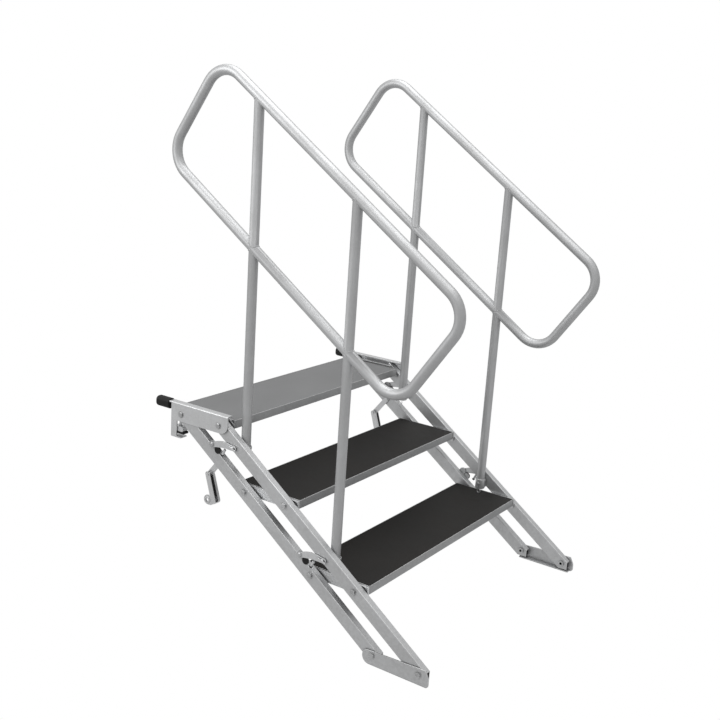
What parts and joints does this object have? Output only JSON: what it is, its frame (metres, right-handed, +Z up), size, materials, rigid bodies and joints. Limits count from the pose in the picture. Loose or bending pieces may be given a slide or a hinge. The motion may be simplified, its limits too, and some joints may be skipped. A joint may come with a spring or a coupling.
{
  "type": "adjustable stage stair",
  "caption": "Height-adjustable three-tread stage stair with parallel stringers, self-levelling treads, stage hooks and lift-out tubular handrails.",
  "frame": {"origin": "on the floor, under the middle of the stair's length and width", "axes": "+Z up, +Y towards the stage that the stair hooks onto, +X to the right for a person climbing"},
  "size_m": [1.0736, 1.146, 1.7634],
  "materials": {
    "stringer_metal": "hot-dip galvanised steel tube and plate, satin grey",
    "handrail_silver": "silver coated steel tube, semi-gloss",
    "bright_zinc": "bright zinc plated steel",
    "tread_metal": "grey folded steel, satin",
    "tread_board": "film-faced plywood, dark brown, anti-slip face",
    "black_rubber": "matt black rubber"
  },
  "bodies": {
    "top_step": {"top_tread_frame": "tread_metal", "top_tread_board": "tread_board", "left_top_end_plate": "tread_metal", "left_stage_bracket": "bright_zinc", "left_rubber_cap": "black_rubber", "left_clamp_jaw": "bright_zinc", "left_top_front_bolt": "bright_zinc", "left_top_rear_bolt": "bright_zinc", "right_top_end_plate": "tread_metal", "right_stage_bracket": "bright_zinc", "right_rubber_cap": "black_rubber", "right_clamp_jaw": "bright_zinc", "right_top_front_bolt": "bright_zinc", "right_top_rear_bolt": "bright_zinc"},
    "upper_stringers": {"left_upper_stringer": "stringer_metal", "left_upper_post_socket": "bright_zinc", "left_lower_post_socket": "bright_zinc", "right_upper_stringer": "stringer_metal", "right_upper_post_socket": "bright_zinc", "right_lower_post_socket": "bright_zinc"},
    "lower_stringers": {"left_lower_stringer": "stringer_metal", "right_lower_stringer": "stringer_metal"},
    "middle_step": {"middle_tread_frame": "tread_metal", "middle_tread_board": "tread_board", "left_middle_end_plate": "tread_metal", "left_middle_front_bolt": "bright_zinc", "left_middle_rear_bolt": "bright_zinc", "right_middle_end_plate": "tread_metal", "right_middle_front_bolt": "bright_zinc", "right_middle_rear_bolt": "bright_zinc"},
    "bottom_step": {"bottom_tread_frame": "tread_metal", "bottom_tread_board": "tread_board", "left_bottom_end_plate": "tread_metal", "left_bottom_front_bolt": "bright_zinc", "left_bottom_rear_bolt": "bright_zinc", "right_bottom_end_plate": "tread_metal", "right_bottom_front_bolt": "bright_zinc", "right_bottom_rear_bolt": "bright_zinc"},
    "left_foot": {"left_foot_plate": "stringer_metal", "left_foot_front_bolt": "bright_zinc", "left_foot_rear_bolt": "bright_zinc"},
    "left_handrail": {"left_handrail_loop": "handrail_silver", "left_knee_rail": "handrail_silver", "left_upper_post": "handrail_silver", "left_lower_post": "handrail_silver"},
    "left_upper_arm": {"left_upper_locking_arm": "bright_zinc"},
    "left_lower_arm": {"left_lower_locking_arm": "bright_zinc"},
    "left_tie_upper": {"left_tie_upper_link": "bright_zinc"},
    "left_tie_lower": {"left_tie_lower_link": "bright_zinc"},
    "right_foot": {"right_foot_plate": "stringer_metal", "right_foot_front_bolt": "bright_zinc", "right_foot_rear_bolt": "bright_zinc"},
    "right_handrail": {"right_handrail_loop": "handrail_silver", "right_knee_rail": "handrail_silver", "right_upper_post": "handrail_silver", "right_lower_post": "handrail_silver"},
    "right_upper_arm": {"right_upper_locking_arm": "bright_zinc"},
    "right_lower_arm": {"right_lower_locking_arm": "bright_zinc"},
    "right_tie_upper": {"right_tie_upper_link": "bright_zinc"},
    "right_tie_lower": {"right_tie_lower_link": "bright_zinc"}
  },
  "joints": [
    {"name": "height_fold", "type": "hinge", "parent": "top_step", "child": "upper_stringers", "pos_m": [0, 0.288, 0.61884], "axis": [1, 0, 0], "range_deg": [-5, 12.4]},
    {"name": "lower_stringer_fold", "type": "hinge", "parent": "top_step", "child": "lower_stringers", "pos_m": [0, 0.4562, 0.61884], "axis": [1, 0, 0], "range_deg": [-5.3, 12.7]},
    {"name": "middle_step_level", "type": "hinge", "parent": "upper_stringers", "child": "middle_step", "pos_m": [0, 0.0052, 0.41793], "axis": [1, 0, 0], "range_deg": [-12.7, 5.3]},
    {"name": "bottom_step_level", "type": "hinge", "parent": "upper_stringers", "child": "bottom_step", "pos_m": [0, -0.28013, 0.21523], "axis": [1, 0, 0], "range_deg": [-12.7, 5.3]},
    {"name": "left_foot_level", "type": "hinge", "parent": "upper_stringers", "child": "left_foot", "pos_m": [-0.5285, -0.53595, 0.0335], "axis": [1, 0, 0], "range_deg": [-12.7, 5.3]},
    {"name": "left_upper_arm_swing", "type": "hinge", "parent": "lower_stringers", "child": "left_upper_arm", "pos_m": [-0.5285, 0.31339, 0.54856], "axis": [1, 0, 0], "range_deg": [-22.8, 9.5]},
    {"name": "left_lower_arm_swing", "type": "hinge", "parent": "lower_stringers", "child": "left_lower_arm", "pos_m": [-0.5285, -0.07115, 0.27538], "axis": [1, 0, 0], "range_deg": [-22.8, 9.5]},
    {"name": "left_handrail_lift", "type": "slide", "parent": "upper_stringers", "child": "left_handrail", "axis": [0, 0, 1], "range_m": [0, 0.08]},
    {"name": "left_tie_swing", "type": "hinge", "parent": "lower_stringers", "child": "left_tie_upper", "pos_m": [-0.4965, 0.293, 0.49784], "axis": [1, 0, 0], "range_deg": [-18, 25]},
    {"name": "left_tie_knee", "type": "hinge", "parent": "left_tie_upper", "child": "left_tie_lower", "pos_m": [-0.497, 0.348, 0.42884], "axis": [1, 0, 0], "range_deg": [-34, 40]},
    {"name": "right_foot_level", "type": "hinge", "parent": "upper_stringers", "child": "right_foot", "pos_m": [0.5285, -0.53595, 0.0335], "axis": [1, 0, 0], "range_deg": [-12.7, 5.3]},
    {"name": "right_upper_arm_swing", "type": "hinge", "parent": "lower_stringers", "child": "right_upper_arm", "pos_m": [0.5285, 0.31339, 0.54856], "axis": [1, 0, 0], "range_deg": [-22.8, 9.5]},
    {"name": "right_lower_arm_swing", "type": "hinge", "parent": "lower_stringers", "child": "right_lower_arm", "pos_m": [0.5285, -0.07115, 0.27538], "axis": [1, 0, 0], "range_deg": [-22.8, 9.5]},
    {"name": "right_handrail_lift", "type": "slide", "parent": "upper_stringers", "child": "right_handrail", "axis": [0, 0, 1], "range_m": [0, 0.08]},
    {"name": "right_tie_swing", "type": "hinge", "parent": "lower_stringers", "child": "right_tie_upper", "pos_m": [0.4965, 0.293, 0.49784], "axis": [1, 0, 0], "range_deg": [-18, 25]},
    {"name": "right_tie_knee", "type": "hinge", "parent": "right_tie_upper", "child": "right_tie_lower", "pos_m": [0.497, 0.348, 0.42884], "axis": [1, 0, 0], "range_deg": [-34, 40]}
  ],
  "couplings": [
    {"joint": "lower_stringer_fold", "follows": "height_fold", "ratio": 1},
    {"joint": "middle_step_level", "follows": "height_fold", "ratio": -1},
    {"joint": "bottom_step_level", "follows": "height_fold", "ratio": -1},
    {"joint": "left_foot_level", "follows": "height_fold", "ratio": -1},
    {"joint": "left_upper_arm_swing", "follows": "height_fold", "ratio": -1.8},
    {"joint": "left_lower_arm_swing", "follows": "height_fold", "ratio": -1.8},
    {"joint": "right_foot_level", "follows": "height_fold", "ratio": -1},
    {"joint": "right_upper_arm_swing", "follows": "height_fold", "ratio": -1.8},
    {"joint": "right_lower_arm_swing", "follows": "height_fold", "ratio": -1.8}
  ]
}
